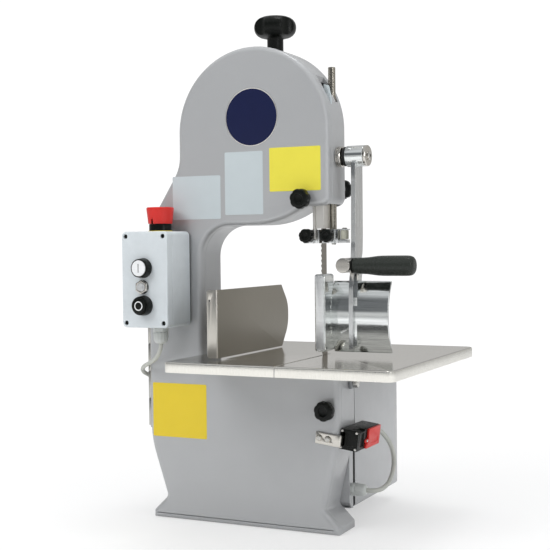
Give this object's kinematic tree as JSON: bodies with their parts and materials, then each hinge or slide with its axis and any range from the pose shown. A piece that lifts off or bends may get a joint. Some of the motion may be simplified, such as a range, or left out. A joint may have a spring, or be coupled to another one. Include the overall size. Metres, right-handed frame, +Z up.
{
  "type": "bone saw",
  "caption": "Bench-top bandsaw for cutting bone and frozen meat: C-shaped frame with hinged door, stainless table, sliding fence, swinging pusher and control box.",
  "frame": {"origin": "middle of the machine's footprint box, on the bench", "axes": "+X to the operator's right, +Y to the back, +Z up"},
  "size_m": [0.4823, 0.425, 0.785],
  "materials": {
    "silver_grey_paint": "satin silver-grey paint",
    "cast_grey": "dark grey primer",
    "stainless_table": "long-grain brushed stainless",
    "brushed_fence": "brushed stainless, darker",
    "polished_aluminium": "polished casting",
    "nickel_plate": "nickel plate",
    "ground_steel": "ground steel",
    "blade_steel": "rolled band steel",
    "black_plastic": "satin black phenolic",
    "grip_plastic": "matt black",
    "enclosure_grey": "fine-textured light grey",
    "gland_grey": "moulded grey",
    "cable_grey": "grey cable sheath",
    "red_plastic": "satin red",
    "white_plastic": "satin white",
    "white_nylon": "off-white nylon",
    "black_rubber": "moulded rubber",
    "cast_wheel": "turned casting",
    "motor_grey": "dark grey paint"
  },
  "bodies": {
    "frame": {"frame_casting": "silver_grey_paint", "hinge_leaf_frame": "ground_steel", "hinge_pin": "ground_steel", "saw_blade": "blade_steel", "tension_bracket": "cast_grey", "tension_spring": "ground_steel", "table_top": "stainless_table", "table_bracket": "cast_grey", "table_bolt": "nickel_plate", "fence_bushing": "polished_aluminium", "pusher_pivot_pin": "nickel_plate", "pusher_spacer": "black_rubber", "pusher_cap": "nickel_plate", "rear_housing": "silver_grey_paint", "motor_cover": "silver_grey_paint", "motor_body": "motor_grey", "rear_foot_left": "black_rubber", "rear_foot_right": "black_rubber", "rear_cable": "cable_grey", "interlock_switch": "black_plastic", "interlock_cover": "red_plastic", "interlock_gland": "gland_grey", "interlock_cable": "cable_grey"},
    "door": {"front_door": "silver_grey_paint", "hinge_leaf_door": "ground_steel", "control_box_base": "enclosure_grey", "control_box_lid": "enclosure_grey", "start_collar": "black_plastic", "stop_collar": "black_plastic", "indicator_lamp": "nickel_plate", "estop_base": "black_plastic", "control_gland": "gland_grey", "control_cable": "cable_grey", "interlock_key": "nickel_plate"},
    "door_knob_upper_body": {"door_knob_upper": "black_plastic"},
    "door_knob_lower_body": {"door_knob_lower": "black_plastic"},
    "start_button_body": {"start_button": "white_plastic"},
    "stop_button_body": {"stop_button": "black_plastic"},
    "estop_plunger": {"estop_stem": "black_plastic"},
    "estop_head": {"estop_cap": "red_plastic"},
    "wheel_carriage": {"wheel_slide_block": "ground_steel", "tension_screw": "ground_steel", "upper_axle": "ground_steel"},
    "upper_wheel_body": {"upper_wheel": "cast_wheel"},
    "tension_knob_body": {"tension_knob": "black_plastic"},
    "drive": {"lower_wheel": "cast_wheel", "drive_shaft": "ground_steel"},
    "guide_carriage": {"guide_post": "nickel_plate", "blade_guard": "nickel_plate", "guide_block": "polished_aluminium"},
    "guide_roller_body": {"guide_roller": "white_nylon"},
    "guide_knob_left_body": {"guide_knob_left": "black_plastic"},
    "guide_knob_right_body": {"guide_knob_right": "black_plastic"},
    "post_clamp_body": {"post_clamp_knob": "black_plastic"},
    "fence": {"fence_plate": "brushed_fence", "fence_rod": "nickel_plate"},
    "fence_lock_body": {"fence_lock_knob": "black_plastic"},
    "pusher": {"pusher_arm": "polished_aluminium", "handle_boss": "nickel_plate"},
    "pusher_grip": {"handle_grip": "grip_plastic"}
  },
  "joints": [
    {"name": "door_hinge", "type": "hinge", "parent": "frame", "child": "door", "pos_m": [-0.22335, -0.0545, 0.143], "axis": [0, 0, -1], "range_deg": [0, 105]},
    {"name": "door_knob_upper_spin", "type": "hinge", "parent": "door", "child": "door_knob_upper_body", "pos_m": [0.05345, -0.0795, 0.4946], "axis": [0, 1, 0], "continuous": true},
    {"name": "door_knob_lower_spin", "type": "hinge", "parent": "door", "child": "door_knob_lower_body", "pos_m": [0.08855, -0.0795, 0.1855], "axis": [0, 1, 0], "continuous": true},
    {"name": "start_press", "type": "slide", "parent": "door", "child": "start_button_body", "axis": [0, 1, 0], "range_m": [0, 0.003]},
    {"name": "stop_press", "type": "slide", "parent": "door", "child": "stop_button_body", "axis": [0, 1, 0], "range_m": [0, 0.003]},
    {"name": "estop_press", "type": "slide", "parent": "door", "child": "estop_plunger", "axis": [0, 0, -1], "range_m": [0, 0.004]},
    {"name": "estop_twist", "type": "hinge", "parent": "estop_plunger", "child": "estop_head", "pos_m": [-0.17685, -0.097, 0.47], "axis": [0, 0, -1], "range_deg": [0, 45]},
    {"name": "tension_knob_spin", "type": "hinge", "parent": "frame", "child": "tension_knob_body", "pos_m": [-0.03405, 0.0205, 0.7], "axis": [0, 0, 1], "range_deg": [0, 1081]},
    {"name": "upper_wheel_slide", "type": "slide", "parent": "frame", "child": "wheel_carriage", "axis": [0, 0, -1], "range_m": [0, 0.006]},
    {"name": "upper_wheel_spin", "type": "hinge", "parent": "wheel_carriage", "child": "upper_wheel_body", "pos_m": [-0.03405, -0.0355, 0.5996], "axis": [0, 1, 0], "continuous": true},
    {"name": "lower_wheel_spin", "type": "hinge", "parent": "frame", "child": "drive", "pos_m": [-0.03405, -0.0355, 0.14928], "axis": [0, 1, 0], "continuous": true},
    {"name": "guide_post_slide", "type": "slide", "parent": "frame", "child": "guide_carriage", "axis": [0, 0, 1], "range_m": [-0.035, 0.02]},
    {"name": "guide_roller_spin", "type": "hinge", "parent": "guide_carriage", "child": "guide_roller_body", "pos_m": [0.10115, -0.0303, 0.441], "axis": [0, 0, 1], "continuous": true},
    {"name": "guide_knob_left_spin", "type": "hinge", "parent": "guide_carriage", "child": "guide_knob_left_body", "pos_m": [0.05065, -0.0545, 0.4405], "axis": [0, 1, 0], "continuous": true},
    {"name": "guide_knob_right_spin", "type": "hinge", "parent": "guide_carriage", "child": "guide_knob_right_body", "pos_m": [0.08365, -0.0545, 0.4405], "axis": [0, 1, 0], "continuous": true},
    {"name": "post_clamp_spin", "type": "hinge", "parent": "frame", "child": "post_clamp_body", "pos_m": [0.07815, 0.0185, 0.511], "axis": [0, 1, 0], "continuous": true},
    {"name": "fence_slide", "type": "slide", "parent": "frame", "child": "fence", "axis": [1, 0, 0], "range_m": [-0.015, 0.07]},
    {"name": "fence_lock_spin", "type": "hinge", "parent": "frame", "child": "fence_lock_body", "pos_m": [-0.11135, -0.0145, 0.311], "axis": [0, 0, 1], "continuous": true},
    {"name": "pusher_swing", "type": "hinge", "parent": "frame", "child": "pusher", "pos_m": [0.12315, -0.0315, 0.557], "axis": [1, 0, 0], "range_deg": [-35, 20]},
    {"name": "grip_spin", "type": "hinge", "parent": "pusher", "child": "pusher_grip", "pos_m": [0.17615, -0.0655, 0.3964], "axis": [1, 0, 0], "continuous": true}
  ],
  "couplings": [
    {"joint": "tension_knob_spin", "follows": "upper_wheel_slide", "rad_per_m": 3141.6},
    {"joint": "upper_wheel_spin", "follows": "lower_wheel_spin", "ratio": 1}
  ]
}
